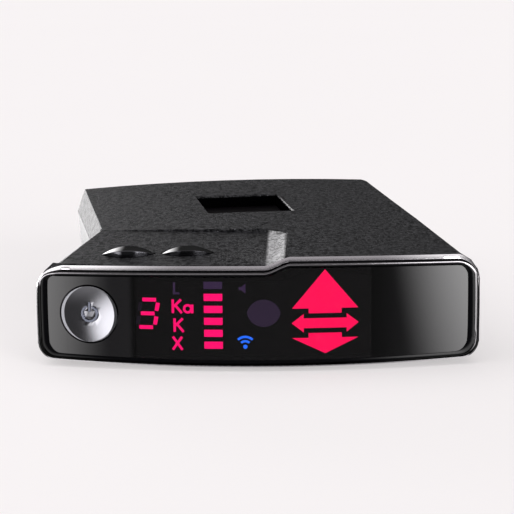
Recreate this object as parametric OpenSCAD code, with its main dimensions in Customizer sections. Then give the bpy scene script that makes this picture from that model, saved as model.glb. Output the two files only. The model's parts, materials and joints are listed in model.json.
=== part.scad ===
// Windshield radar detector: a die-cast top cover and a moulded bottom cover around two horn
// antennas, with a bowed display head that turns towards the driver.
// Origin: middle of the outer box, on the surface that the case rests on.
// +X is the driver's right, +Y points to the windshield, +Z is up.

/* [Case] */
// Width of the flat top of the case
top_w = 68.8; // [68:0.2:69.6]
// Height of the top plane above the rest surface
case_h = 23.5; // [23.3:0.1:23.7]
// Height of the seam between the two covers
seam_z = 18.1; // [17.9:0.1:18.3]
// How much wider than the top each side is at the seam
side_flare = 1.8; // [1.6:0.1:2]
// How much each side of the bottom cover leans in below the seam
bottom_taper = 1.4; // [1.2:0.1:1.6]
// Wall of the die-cast top cover
top_wall = 2; // [1.9:0.05:2.1]
// Wall of the moulded bottom cover
bottom_wall = 1.8; // [1.7:0.05:1.9]

/* [Nose] */
// Distance from the rear of the sloped nose to the windshield end
nose_run = 20.1; // [19.8:0.1:20.4]
// Drop of the nose from the top plane to the windshield end
nose_drop = 7; // [6.5:0.1:7.2]
// Radius of the top plane's windshield edge, seen from above
crest_r = 128; // [126:1:130]

/* [Display face] */
// Width of the face along its chord
face_w = 90; // [89.8:0.1:90.2]
// Height of the face at its middle
face_h = 22.65; // [22.5:0.05:22.7]
// Turn of the face towards the driver, in degrees
face_turn = 10.5; // [10:0.1:11]
// Distance of the face's ends behind its middle
face_bow = 5.7; // [5.5:0.1:5.9]
// Drop of the face's top edge at its ends
face_crown = 0.68; // [0.6:0.02:0.76]
// Depth of the button deck below the top plane, at the face
deck_drop = 1.63; // [1.55:0.01:1.7]

/* [Controls] */
// Diameter of the power button
power_d = 11.5; // [11.3:0.1:11.6]
// Inward travel of the power button
power_travel = 0.5; // [0.4:0.05:0.5]
// Length of each volume button
volume_l = 11; // [10.8:0.1:11]
// Downward travel of the volume buttons
volume_travel = 0.5; // [0.4:0.05:0.5]

/* [Sockets] */
// Diameter of the earphone socket
earphone_d = 3.6; // [3.55:0.05:3.65]
// Width of a modular socket's opening
modular_w = 9.7; // [9.6:0.1:9.8]
// Height of a modular socket's opening
modular_h = 6.8; // [6.6:0.1:6.9]

/* [Hidden] */
$fn = 48;
eps = 0.01;
fit = 0.1;
far = 200;

// Places in plan, in the case's frame
face_mid = [-1.05, -55.3];
case_mid_x = 6.05;
end_y = 58.3;
head_end_y = -18;
corner_y = 33.2;
crest_mid = [case_mid_x, end_y - nose_run - crest_r];
half_face = face_w / 2;
half_top = top_w / 2;

// Layers of the face, as depths behind its front surface
rim_t = 0.5;
bezel_t = 3;
lens_t = [0.1, 1.6];
guide_t = 1.65;
guide_back = 10.3;
guide_z = [-19.6, -5.2];
led_front = 10.5;
board_front = 11.2;
board_th = 1.6;

// Insets of the face's nested outlines: top, side, bottom
rim_in = [0, 0, 0];
bezel_in = [1.25, 0.75, 0.45];
lens_in = [2.15, 2.4, 1.5];
ledge_in = [2.55, 3.2, 1.95];

// Places of the controls, across the face and down from the top plane
power_at = [-34, -12.16];
power_hole_d = power_d + 0.7;
dish_r = 33.5;
volume_at = [[-26.4, 11], [-14.2, 11]];
deck_u = 7;
riser_u = [2.35, 6.1];
deck_v = 30.4;
deck_corner_r = 8;
// Right at the face, right and left at the step, left at the face
deck_corners = [[riser_u[0], 0, -deck_drop], [riser_u[0], 30.4, -0.8], [-33.3, 29.7, -0.3], [-40, 4.5, -2.06]];
shoulder_lip = 0.4;

// Places of the fixings, in the case's frame
post_at = [[-24, -12], [36, -3], [-24, 33], [36, 33]];
board_post_at = [[-18, -27], [6.5, -27], [-14, 21.5], [6.5, 21.5]];
board_z = 2.4;
board_top = board_z + board_th;
jack_y = [0.75, 14.25];
jack_size = [13.5, 11.5, 8.2];
jack_x = -29.4;
earphone_y = 26;
earphone_z = board_top + 3.4;
speaker_at = [24, -20];
speaker_z = bottom_wall + 0.6;
ribbon_u = -4.3;
pocket_at = [-3.6, -5];
pocket_size = [19, 22, 4];
radome_box = [[-13, 2.2], [25, 9.4]];
laser_box = [[28, 3], [33.5, 8.6]];
sleeve_box = [[-6, 10.2], [18, 14.2]];

function face_at(u, v, w) = [
    face_mid[0] + u * cos(face_turn) + v * sin(face_turn),
    face_mid[1] - u * sin(face_turn) + v * cos(face_turn),
    case_h + w];
function crown(u) = -face_crown * pow(u / half_face, 2);
function bow(u) = face_bow * pow(u / half_face, 2);
function top_edge(u0, u1, drop) = [for (i = [0:8]) let (u = u0 + (u1 - u0) * i / 8) [u, crown(u) - drop]];
// Corner points of the face's outline: distance from the face's end, height, and the shares of
// the side inset and of the top or bottom inset that the point takes
left_top = [[0, -7.2, 1, -0.63], [0.5, -5.6, 0.96, -0.28], [2, -3.6, 0.62, 0.42]];
right_top = [[1.8, -1.9, 0.62, 0.56], [0.4, -4, 0.92, 0.05], [0, -5.4, 1, -0.2]];
right_bottom = [[0, -18.9, 1, -0.53], [0.5, -20.4, 0.96, -0.8], [1.5, -21.5, 0.83, -0.93]];
left_bottom = [right_bottom[2], right_bottom[1], right_bottom[0]];

function corner(points, side, side_in, edge_in) =
    [for (p = points) [side * (half_face - p[0] - p[2] * side_in), p[1] - p[3] * edge_in]];

// Outline of the face with insets [top, side, bottom]; drop is how far the button deck steps down
function face_outline(inset, drop) =
    let (low_end = half_face - 2.7 - 0.7 * inset[1])
    concat(
        corner(left_top, -1, inset[1], inset[0]),
        top_edge(-half_face + 5.2 - 0.4 * inset[1], riser_u[0], drop + inset[0]),
        top_edge(riser_u[1], half_face - 3.8 - 0.1 * inset[1], inset[0]),
        corner(right_top, 1, inset[1], inset[0]),
        corner(right_bottom, 1, inset[1], inset[2]),
        [for (i = [0:12]) let (u = low_end * (1 - i / 6)) [u, inset[2] - face_h - crown(u)]],
        corner(left_bottom, -1, inset[1], inset[2]));

// Cross-section of the case in the body's stretch, inset by a wall
function case_section(wall, floor_wall) = [
    [case_mid_x - half_top + wall, case_h - wall], [case_mid_x + half_top - wall, case_h - wall],
    [case_mid_x + half_top + side_flare - wall, seam_z],
    [case_mid_x + half_top + side_flare - bottom_taper - wall, floor_wall],
    [case_mid_x - half_top - side_flare + bottom_taper + wall, floor_wall],
    [case_mid_x - half_top - side_flare + wall, seam_z]];

// Arc of the nose at a distance beyond the crest, seen from above
function nose_arc(r, half) = [for (i = [-6:6]) let (x = half * i / 6)
    [crest_mid[0] + x, crest_mid[1] + sqrt(r * r - x * x)]];

module on_face() {
    translate([face_mid[0], face_mid[1], case_h]) rotate([0, 0, -face_turn]) children();
}

// Extrudes an outline of the face, drawn across and up, from depth v0 to depth v1
module upright(v0, v1) {
    translate([0, v1, 0]) rotate([90, 0, 0]) linear_extrude(v1 - v0) children();
}

// Everything between two depths behind the bowed front of the face
module face_band(t0, t1) {
    us = [for (i = [-10:10]) i * 5];
    back = [for (i = [-10:10]) -i * 5];
    translate([0, 0, -30]) linear_extrude(34)
        polygon(concat([for (u = us) [u, bow(u) + t0]], [for (u = back) [u, bow(u) + t1]]));
}

// Everything behind depth t0 of the bowed face and in front of the plane v1
module behind_face(t0, v1) {
    us = [for (i = [-10:10]) i * 5];
    translate([0, 0, -30]) linear_extrude(34)
        polygon(concat([for (u = us) [u, bow(u) + t0]], [[50, v1], [-50, v1]]));
}

module box(low, high) {
    translate(low) cube([high[0] - low[0], high[1] - low[1], high[2] - low[2]]);
}

// Display head: blends from the face's outline into the case's cross-section
module head_form(inset, wall, floor_wall, front_t) {
    hull() {
        on_face() intersection() {
            upright(-2, 14) polygon(face_outline(inset, 0));
            face_band(front_t, front_t + 2.5);
        }
        translate([0, head_end_y + 1, 0]) rotate([90, 0, 0]) linear_extrude(1)
            polygon(case_section(wall, floor_wall));
    }
}

module plan_slab(z, th, grow, rear_y) {
    half = half_top + grow;
    translate([0, 0, z]) linear_extrude(th)
        polygon([[case_mid_x - half, rear_y], [case_mid_x - half, corner_y], [case_mid_x - half + 7, end_y - 6],
            [case_mid_x - half + 8, end_y + 2], [case_mid_x + half - 8, end_y + 2],
            [case_mid_x + half - 7, end_y - 6], [case_mid_x + half, corner_y], [case_mid_x + half, rear_y]]);
}

module nose_cut(wall) {
    // Concentric arcs at the crest and at the windshield end
    difference() {
        translate([-100, -100, -10]) cube([200, 200, 50]);
        hull() {
            translate([0, 0, -20]) linear_extrude(20 + case_h - nose_drop - wall)
                polygon(concat(nose_arc(crest_r + nose_run - wall, 50), [[60, -90], [-60, -90]]));
            translate([0, 0, case_h - wall]) linear_extrude(eps)
                polygon(concat(nose_arc(crest_r - wall / 2, 50), [[60, -90], [-60, -90]]));
            translate([0, 0, case_h + 20]) linear_extrude(eps)
                polygon([[-40, -90], [50, -90], [50, -60], [-40, -60]]);
        }
    }
}

// Body of the case behind the head, widest at the seam
module body_form(wall, floor_wall) {
    difference() {
        hull() {
            plan_slab(case_h - wall - eps, eps, -wall, head_end_y);
            plan_slab(seam_z, eps, side_flare - wall, head_end_y);
            plan_slab(floor_wall, eps, side_flare - bottom_taper - wall, head_end_y);
        }
        nose_cut(wall);
    }
}

// Gentle crown that the top face has from side to side
module crown_form() {
    xs = [for (i = [-12:12]) i * 4];
    translate([face_mid[0], far / 2, case_h]) rotate([90, 0, 0]) linear_extrude(far)
        polygon(concat([for (x = xs) [x, crown(x)]], [[48, -40], [-48, -40]]));
}

// Space above the sunken button deck, bounded by the deck, the riser and the step
module deck_cut() {
    on_face() intersection() {
        deck_space();
        translate([riser_u[0], 0, -deck_drop]) rotate([0, -atan(deck_drop / (riser_u[1] - riser_u[0])), 0])
            translate([-70, -10, 0]) cube([90, 60, 20]);
        translate([0, 0, -5]) linear_extrude(12) offset(r = deck_corner_r) offset(delta = -deck_corner_r)
            translate([-60, -20]) square([60 + deck_u, 20 + deck_v]);
    }
}

// Everything above the plane through three points
module above_plane(p, q, r) {
    up = cross(q - p, r - p);
    translate(p) rotate(a = acos(up[2] / norm(up)), v = cross([0, 0, 1], up))
        translate([-70, -70, 0]) cube([140, 140, 8]);
}

// The deck is two planes: it rises to the windshield, and its step fades out towards the driver's left
module deck_space() {
    above_plane(deck_corners[0], deck_corners[1], deck_corners[2]);
    above_plane(deck_corners[0], deck_corners[2], deck_corners[3]);
}

// Slants one of the head's shoulders off, from the line between two points of its top edge outwards
module shoulder_cut(front, back, side, slant) {
    run = back - front;
    level = norm([run[0], run[1]]);
    intersection() {
        translate(front) rotate([0, 0, atan2(run[1], run[0])]) rotate([0, -atan2(run[2], level), 0])
            rotate([-side * slant, 0, 0]) translate([-4, side > 0 ? 0 : -20, 0]) cube([norm(run) + 4, 20, 20]);
        on_face() behind_face(rim_t + shoulder_lip, 60);
    }
}

module shoulder_cuts() {
    shoulder_cut(face_at(-39.9, 5, -2.16), [-28.43, head_end_y, 23.25], 1, 34);
    shoulder_cut(face_at(41.2, 5.28, -0.57), [40.64, head_end_y, 22.92], -1, 42);
}

module volume_plan(grow) {
    half_l = volume_l / 2 + grow;
    half_w = 2.6 + grow;
    r = (half_l * half_l + half_w * half_w) / (2 * half_w);
    intersection() {
        translate([0, r - half_w]) circle(r, $fn = 96);
        translate([0, half_w - r]) circle(r, $fn = 96);
    }
}

module top_cover() color("#3a3a3c") {
    difference() {
        intersection() {
            union() {
                head_form(rim_in, 0, 0, rim_t);
                body_form(0, 0);
            }
            translate([-far / 2, -far / 2, seam_z]) cube([far, far, 20]);
            crown_form();
        }
        head_form([2.2, 2, 2], top_wall, bottom_wall, rim_t + 1);
        body_form(top_wall, bottom_wall);
        on_face() intersection() {
            upright(-3, 14) polygon(face_outline([1.15, 0.65, 0.35], deck_drop));
            face_band(-1, bezel_t + fit);
        }
        deck_cut();
        shoulder_cuts();
        translate([pocket_at[0], pocket_at[1], case_h - pocket_size[2]])
            cube([pocket_size[0], pocket_size[1], 10]);
        for (at = volume_at)
            on_face() translate([at[0], at[1], -10]) linear_extrude(14) volume_plan(0.25);
    }
    deck_floor();
    pocket_walls();
    for (at = post_at) difference() {
        translate([at[0], at[1], 10]) cylinder(d = 5.6, h = case_h - 1.6 - 10);
        translate([at[0], at[1], 9]) cylinder(d = 2.3, h = 9);
    }
}

// Underside of the sunken deck, thick enough to guide the volume buttons
module deck_floor() {
    difference() {
        on_face() intersection() {
            translate([0, 0, -deck_drop]) rotate([2, 0, 0])
                translate([-36.5, 4.6 + bezel_t, -2]) cube([36.5 + riser_u[1], deck_v - 8, 2]);
            translate([-36.5, 0, -5]) cube([36.5 + riser_u[1], deck_v, 5]);
        }
        deck_cut();
        for (at = volume_at)
            on_face() translate([at[0], at[1], -10]) linear_extrude(14) volume_plan(0.25);
        translate([-60, -60, 0]) cube([120, 120, seam_z]);
        flare_outside();
    }
}

// Everything outside the head's own form, so that the deck's underside ends inside it
module flare_outside() {
    difference() {
        translate([-80, -80, 10]) cube([70, 80, 30]);
        head_form([0.5, 0.5, 0.5], 1, 1, rim_t);
    }
}

module pocket_walls() {
    low = [pocket_at[0] - 1.4, pocket_at[1] - 1.4, case_h - pocket_size[2] - 1.4];
    difference() {
        box(low, [pocket_at[0] + pocket_size[0] + 1.4, pocket_at[1] + pocket_size[1] + 1.4, case_h - 1.9]);
        translate([pocket_at[0], pocket_at[1], case_h - pocket_size[2]])
            cube([pocket_size[0], pocket_size[1], 10]);
        translate([pocket_at[0] + 5, pocket_at[1] + 6, low[2] - 1]) cube([9, 8, 4]);
    }
}

module bottom_cover() color("#2b2b2d") {
    difference() {
        intersection() {
            union() {
                head_form([0, 0, 0], 0, 0, rim_t);
                body_form(0, 0);
            }
            translate([-far / 2, -far / 2, 0]) cube([far, far, seam_z]);
        }
        head_form([2.2, 2, 1.6], top_wall, bottom_wall, rim_t + 1);
        body_form(top_wall, bottom_wall);
        on_face() intersection() {
            upright(-3, 14) polygon(face_outline([1.15, 0.65, 0.35], deck_drop));
            face_band(-1, bezel_t + fit);
        }
        bottom_openings();
    }
    difference() {
        union() {
            for (at = post_at)
                translate([at[0], at[1], bottom_wall - eps]) cylinder(d = 6, h = 9.9 - bottom_wall);
            for (at = board_post_at)
                translate([at[0], at[1], bottom_wall - eps]) cylinder(d = 4, h = board_z - bottom_wall + eps);
            for (u = [-31, -10]) on_face()
                translate([u, 17, bottom_wall - case_h]) cylinder(d = 4, h = case_h - 8.2 - bottom_wall);
        }
        bottom_openings();
    }
}

// Holes of the bottom cover: screws, speaker slots, sockets, radome, laser lens and bracket slot
module bottom_openings() {
    for (at = post_at) {
        translate([at[0], at[1], -1]) cylinder(d = 2.8, h = 12);
        translate([at[0], at[1], -1]) cylinder(d = 5, h = 7);
    }
    for (i = [-3:3]) {
        half = 10.5 - abs(i);
        translate([speaker_at[0] - half, speaker_at[1] + 3 * i - 0.7, -1]) cube([2 * half, 1.4, 4]);
    }
    for (y = jack_y)
        box([-40, y - jack_size[1] / 2 - fit, board_top - fit],
            [-22, y + jack_size[1] / 2 + fit, board_top + jack_size[2] + fit]);
    translate([-40, earphone_y, earphone_z]) rotate([0, 90, 0]) cylinder(d = 6.2, h = 18);
    box([radome_box[0][0], 50, radome_box[0][1]], [radome_box[1][0], 62, radome_box[1][1]]);
    box([laser_box[0][0], 46, laser_box[0][1]], [laser_box[1][0], 62, laser_box[1][1]]);
    box([sleeve_box[0][0], 50, sleeve_box[0][1]], [sleeve_box[1][0], 62, sleeve_box[1][1]]);
    translate([-20, -12, -1]) cube([30, 20, 1.4]);
}

module front_bezel() color("#08080a") {
    on_face() {
        intersection() {
            upright(-1, 14) difference() {
                polygon(face_outline(bezel_in, deck_drop));
                polygon(face_outline(lens_in, deck_drop));
            }
            face_band(0, bezel_t);
        }
        intersection() {
            upright(-1, 14) difference() {
                polygon(face_outline([1.8, 2, 1.2], deck_drop));
                polygon(face_outline(ledge_in, deck_drop));
            }
            face_band(lens_t[1] + 0.02, bezel_t);
        }
    }
}

module power_bore(d) {
    translate([power_at[0], 0, power_at[1]]) rotate([-90, 0, 0]) cylinder(d = d, h = 14);
}

// Frame that lies on the bowed face at the power button, with its own depth direction
module power_tangent() {
    translate([power_at[0], bow(power_at[0]), power_at[1]])
        rotate([0, 0, -atan(2 * face_bow * -power_at[0] / (half_face * half_face))]) children();
}

module display_lens() color("#141214") {
    on_face() difference() {
        intersection() {
            upright(-1, 14) polygon(face_outline(lens_in + [0.05, 0.05, 0.05], deck_drop));
            face_band(lens_t[0], lens_t[1]);
        }
        power_bore(power_hole_d);
    }
}

// Strokes and symbols of the display, drawn across and up
module stroke(a, b, w) {
    d = b - a;
    n = [-d[1], d[0]] * (w / 2 / norm(d));
    polygon([a + n, b + n, b - n, a - n]);
}

module digit_plan(grow) {
    w = 0.75 + grow;
    lean = 0.13;
    mid = [-22, -11.9];
    rise = 2.85;
    half = 1.75;
    for (k = [1, 0, -1])
        stroke([mid[0] - half + 0.35 + lean * k * rise, mid[1] + k * rise],
            [mid[0] + half - 0.35 + lean * k * rise, mid[1] + k * rise], w);
    for (side = [-1, 1]) for (k = [0, 1])
        stroke([mid[0] + side * half + lean * rise * (k - 0.93), mid[1] + rise * (k - 0.8)],
            [mid[0] + side * half + lean * rise * (k - 0.07), mid[1] + rise * (k - 0.2)], w);
}

module letter_k(u, z, grow) {
    stroke([u, z], [u, z + 2.8], 0.45 + grow);
    stroke([u + 0.2, z + 1.3], [u + 1.7, z + 2.8], 0.45 + grow);
    stroke([u + 0.5, z + 1.6], [u + 1.8, z], 0.45 + grow);
}

module laser_plan(grow) {
    stroke([-16.6, -7.8], [-16.6, -5.4], 0.4 + grow);
    stroke([-16.8, -7.65], [-15.5, -7.65], 0.4 + grow);
}

module legend_plan(grow) {
    letter_k(-16.9, -11.7, grow);
    translate([-13.9, -10.8]) difference() {
        circle(0.95 + grow / 2);
        circle(0.5 - grow / 2);
    }
    stroke([-13, -11.7], [-13, -9.9], 0.45 + grow);
    letter_k(-16.6, -15.6, grow);
    stroke([-17, -19.3], [-15.1, -16.6], 0.45 + grow);
    stroke([-17, -16.6], [-15.1, -19.3], 0.45 + grow);
}

module bars_plan(grow) {
    for (i = [0:5]) translate([-8.8, -5.95 - 2.47 * i]) square([3.7 + grow, 1.45 + grow], center = true);
}

module front_arrow_plan(grow) {
    translate([13.65, 0]) polygon([[0, -2.9 + grow], [6.6 + grow, -10.8 - grow / 2], [3.3 + grow / 2, -10.8 - grow / 2],
        [3.3 + grow / 2, -11.8 - grow / 2], [-3.3 - grow / 2, -11.8 - grow / 2],
        [-3.3 - grow / 2, -10.8 - grow / 2], [-6.6 - grow, -10.8 - grow / 2]]);
}

module side_arrow_plan(grow) {
    g = grow / 2;
    translate([13.65, -13.85]) polygon([[-6.7 - grow, 0], [-4.3, 1.9 + g], [-4.3, 1 + g], [4.3, 1 + g],
        [4.3, 1.9 + g], [6.7 + grow, 0], [4.3, -1.9 - g], [4.3, -1 - g], [-4.3, -1 - g], [-4.3, -1.9 - g]]);
}

module rear_arrow_plan(grow) {
    g = grow / 2;
    translate([13.65, 0]) polygon([[-3.3 - g, -15.9 + g], [3.3 + g, -15.9 + g], [3.3 + g, -16.9 + g],
        [6.6 + grow, -16.9 + g], [0, -20.1 - g], [-6.6 - grow, -16.9 + g], [-3.3 - g, -16.9 + g]]);
}

module mute_plan(grow) {
    g = grow / 2;
    polygon([[-3.6 - g, -6.3 + g], [-3.1, -6.3 + g], [-2.3 + g, -5.6 + g], [-2.3 + g, -7.6 - g],
        [-3.1, -6.9 - g], [-3.6 - g, -6.9 - g]]);
}

// Generic wireless sign: a dot under two arcs
module wireless_plan(grow) {
    translate([-2.4, -18.6]) {
        circle(0.42 + grow / 2);
        for (r = [1.15, 2.05]) intersection() {
            difference() {
                circle(r + 0.22 + grow / 2);
                circle(r - 0.22 - grow / 2);
            }
            polygon([[0, 0], [-3, 3], [3, 3]]);
        }
    }
}

module sensor_plan(grow) {
    translate([1.35, -11.7]) intersection() {
        translate([0, -0.6]) circle(3.4 + grow / 2);
        translate([0, 0.6]) circle(3.4 + grow / 2);
    }
}

// Light pipe: from just behind the lens to the back of the guide block
module light_pipe() {
    on_face() intersection() {
        upright(0, guide_back) children();
        behind_face(guide_t, guide_back);
    }
}

module light_guide_block() color("#101012") {
    on_face() difference() {
        intersection() {
            upright(0, guide_back) polygon([[-26.2, -5.02], [5.4, -5.02], [8, -3.7], [11, -2.68], [16.3, -2.68],
                [22, -4.2], [39.5, -4.6], [39.5, -19.2], [22, -20.35], [-26.2, -20.3]]);
            behind_face(guide_t, guide_back);
        }
        upright(-1, 14) {
            digit_plan(0.1);
            laser_plan(0.1);
            legend_plan(0.1);
            bars_plan(0.1);
            front_arrow_plan(0.1);
            side_arrow_plan(0.1);
            rear_arrow_plan(0.1);
            mute_plan(0.1);
            wireless_plan(0.1);
            sensor_plan(0.1);
        }
        power_bore(15.5);
    }
}

module digit_segments() color("#ff0050") light_pipe() digit_plan(0);
module laser_legend() color("#3c2c50") light_pipe() laser_plan(0);
module band_legends() color("#ff0064") light_pipe() legend_plan(0);
module strength_bars() color("#ff0064") light_pipe() bars_plan(0);
module front_arrow() color("#ff0046") light_pipe() front_arrow_plan(0);
module side_arrow() color("#ff0046") light_pipe() side_arrow_plan(0);
module rear_arrow() color("#ff0046") light_pipe() rear_arrow_plan(0);
module mute_indicator() color("#3c2c50") light_pipe() mute_plan(0);
module wireless_indicator() color("#1e6eff") light_pipe() wireless_plan(0);
module light_sensor() color("#2a2030") light_pipe() sensor_plan(0);

module button_guide() color("#1c1c1e") {
    on_face() difference() {
        intersection() {
            translate([power_at[0], 0, power_at[1]]) rotate([-90, 0, 0]) cylinder(d = 15.2, h = guide_back);
            behind_face(guide_t, guide_back);
            translate([-half_face + 3.6, -1, guide_z[0]]) cube([60, 20, guide_z[1] - guide_z[0]]);
        }
        power_bore(13.9);
    }
}

module power_button() color("#55565a") {
    on_face() {
        difference() {
            intersection() {
                translate([power_at[0], -1, power_at[1]]) rotate([-90, 0, 0]) cylinder(d = power_d, h = 9);
                behind_face(0, 7.2);
            }
            power_tangent() {
                translate([0, 0.5 - dish_r, 0]) sphere(r = dish_r, $fn = 128);
                upright(-0.5, 0.5) symbol_plan(0.03);
            }
        }
        translate([power_at[0], 6.4, power_at[1]]) rotate([-90, 0, 0]) cylinder(d = 13.3, h = 0.8);
        translate([power_at[0], 7.1, power_at[1]]) rotate([-90, 0, 0]) cylinder(d = 3, h = 1.1);
    }
}

module symbol_plan(grow) {
    difference() {
        circle(1.75 + grow);
        circle(1.3 - grow);
        polygon([[0, 0], [-1.2, 3], [1.2, 3]]);
    }
    translate([-0.2 - grow, 0.4]) square([0.4 + 2 * grow, 2]);
}

// Raised power sign, let into the middle of the button's dish
module power_symbol() color("#c8c8cc") {
    on_face() power_tangent() upright(0.2, 0.5) symbol_plan(0);
}

module power_plunger() color("#d8d8d8") {
    on_face() translate([power_at[0], 8.2, power_at[1]]) rotate([-90, 0, 0]) cylinder(d = 3.2, h = 1.8);
}

module power_switch() color("#2a2a2a") {
    on_face() difference() {
        translate([power_at[0] - 3, 9, power_at[1] - 3]) cube([6, board_front - 9, 6]);
        translate([power_at[0], 8.9, power_at[1]]) rotate([-90, 0, 0]) cylinder(d = 3.5, h = 1.8);
    }
}

// Volume button: a crowned lens shape on a flange that reaches back to its switch
module volume_button(at) {
    top_z = -0.2;
    crown_r = 12.7;
    on_face() translate([at[0], at[1], 0]) {
        intersection() {
            translate([0, 0, -3.8]) linear_extrude(6) volume_plan(0);
            translate([0, 5, top_z - crown_r]) rotate([90, 0, 0]) cylinder(r = crown_r, h = 10, $fn = 128);
        }
        difference() {
            translate([-6, -2.8, -4.4]) cube([12, 9.3, 0.7]);
            translate([-7, 5, -5]) cube([4, 3, 2]);
            translate([3, 5, -5]) cube([4, 3, 2]);
        }
    }
}

module volume_plunger(at) {
    on_face() translate([at[0], at[1] + 4.5, -5.9]) cylinder(d = 2.4, h = 1.5);
}

module volume_down_button() color("#6a6b70") volume_button(volume_at[0]);
module volume_down_plunger() color("#d8d8d8") volume_plunger(volume_at[0]);
module volume_up_button() color("#6a6b70") volume_button(volume_at[1]);
module volume_up_plunger() color("#d8d8d8") volume_plunger(volume_at[1]);

module volume_switches() color("#2a2a2a") {
    for (at = volume_at) on_face() difference() {
        translate([at[0] - 2.3, at[1] + 2.3, -7]) cube([4.6, 4.6, 1.7]);
        translate([at[0], at[1] + 4.5, -6.5]) cylinder(d = 2.8, h = 3);
    }
}

module key_board() color("#1f5a38") {
    on_face() translate([-33, 13.2, -8.2]) cube([25, 6.4, 1.2]);
}

module display_board() color("#1f5a38") {
    on_face() upright(board_front, board_front + board_th)
        polygon([[-39, -7], [-37, -5.2], [-4, -5.2], [-3, -4], [37, -4], [39, -6], [39, -18.5], [-39, -18.5]]);
}

module display_leds() color("#f2f2e6") {
    spots = concat([for (i = [0:5]) [-8.8, -5.95 - 2.47 * i]], [for (x = [9, 13.65, 18.3]) [x, -13.85]],
        [[13.65, -7], [13.65, -9.5], [13.65, -17.8], [-22, -9], [-22, -11.9], [-22, -14.8], [-16.2, -6.6],
        [-15.5, -10.4], [-16, -14.2], [-16, -17.9], [-2.4, -17.5], [-3, -6.6]]);
    on_face() for (p = spots)
        translate([p[0] - 0.8, led_front, p[1] - 0.4]) cube([1.6, board_front - led_front, 0.8]);
}

module display_ribbon() color("#c98a3c") {
    on_face() {
        translate([ribbon_u - 3.5, board_front + board_th, -19.4]) cube([7, 0.3, 5]);
        translate([ribbon_u - 3.5, board_front + board_th, -19.4]) cube([7, 15, 0.3]);
    }
}

module ribbon_connector() color("#e8e4d8") {
    on_face() translate([ribbon_u - 4, 25.4, -19.1]) cube([8, 3.4, 2]);
}

module main_board() color("#1f5a38") {
    difference() {
        box([-20.5, -30.5, board_z], [9, 24, board_top]);
        for (at = board_post_at) translate([at[0], at[1], 0]) cylinder(d = 2.2, h = 8);
    }
}

module processor() color("#18181a") {
    translate([-14, -16, board_top]) cube([10, 10, 1.2]);
}

module wireless_module() color("#b4b4b8") {
    translate([-10, 6, board_top]) cube([11, 13, 1.9]);
}

module capacitors() color("#3a4a7a") {
    for (y = [-21, -14, -7]) translate([4.5, y, board_top]) cylinder(d = 5, h = 6.5);
}

// Horn antenna: a flared channel with its mouth towards the windshield
module front_horn() color("#b8bac0") {
    difference() {
        hull() {
            box([-12.6, 51.4, 2.3], [24.6, 54.4, 9.3]);
            box([-1, 28, 2.3], [13, 29, 9.3]);
        }
        hull() {
            box([-11.4, 51.4, 3.3], [23.4, 54.6, 8.3]);
            box([1, 34, 3.3], [11, 35, 8.3]);
        }
    }
}

module rear_horn() color("#b8bac0") {
    difference() {
        hull() {
            box([12, -34, 8.6], [36, -32, 18.4]);
            box([18, -14, 8.6], [30, -12, 16.4]);
        }
        hull() {
            box([13.2, -34.2, 9.8], [34.8, -32, 17.2]);
            box([20, -20, 9.8], [28, -19, 15.2]);
        }
    }
}

module mixer_board() color("#1f5a38") {
    translate([-11, 24, 9.5]) cube([34, 15, 1.2]);
}

module shield_can() color("#c4c6ca") {
    difference() {
        box([-8, 25.5, 10.7], [20, 37.5, 14.6]);
        box([-7.6, 25.9, 10.6], [19.6, 37.1, 14.2]);
    }
}

// Piece of the windshield end between two depths from its surface
module end_piece(b, gap, t0, t1) {
    intersection() {
        box([b[0][0] + gap, 40, b[0][1] + gap], [b[1][0] - gap, 62, b[1][1] - gap]);
        linear_extrude(30) difference() {
            polygon(concat(nose_arc(crest_r + nose_run - t0, 50), [[60, -80], [-60, -80]]));
            polygon(concat(nose_arc(crest_r + nose_run - t1, 50), [[61, -81], [-61, -81]]));
        }
    }
}

module front_radome() color("#0c0c0e") end_piece(radome_box, 0.05, 0.2, bottom_wall);
module front_laser_lens() color("#2a0d16") end_piece(laser_box, 0.05, 0.2, 2.4);

module front_laser_sensor() color("#1a1a20") {
    box([28.6, 44.5, 3.6], [32.9, 47.5, 8]);
    translate([30.75, 49.2, 5.8]) rotate([90, 0, 0]) cylinder(d = 3.6, h = 1.7);
}

module rear_laser_window() color("#0a0608") {
    translate([pocket_at[0] + 0.1, pocket_at[1] + 0.1, case_h - pocket_size[2]])
        cube([pocket_size[0] - 0.2, pocket_size[1] - 0.2, 1.2]);
}

module rear_laser_sensor() color("#1a1a20") {
    translate([pocket_at[0] + 6, pocket_at[1] + 7, case_h - pocket_size[2] - 5]) cube([7, 6, 3.2]);
    translate([pocket_at[0] + 9.5, pocket_at[1] + 10, case_h - pocket_size[2] - 2]) cylinder(d = 4, h = 1.8);
}

module speaker_frame() color("#26262a") {
    translate([speaker_at[0], speaker_at[1], speaker_z]) difference() {
        cylinder(d = 27, h = 3.2);
        translate([0, 0, -1]) cylinder(d = 24.6, h = 3.2);
        cylinder(d = 12.4, h = 5);
    }
}

module speaker_cone() color("#46464a") {
    translate([speaker_at[0], speaker_at[1], speaker_z + 0.6]) difference() {
        cylinder(d1 = 24, d2 = 12, h = 1.4);
        translate([0, 0, -0.4]) cylinder(d1 = 24, d2 = 12, h = 1.4);
    }
}

module speaker_magnet() color("#909296") {
    translate([speaker_at[0], speaker_at[1], speaker_z + 2.3]) cylinder(d = 12, h = 3.4);
}

module modular_jack(y) {
    difference() {
        box([jack_x, y - jack_size[1] / 2, board_top],
            [jack_x + jack_size[0], y + jack_size[1] / 2, board_top + jack_size[2]]);
        translate([jack_x - 1, y - modular_w / 2, board_top + 0.7]) cube([12, modular_w, modular_h - 1.6]);
        translate([jack_x - 1, y - 3.2, board_top + 1]) cube([12, 6.4, modular_h - 0.3]);
    }
}

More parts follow.
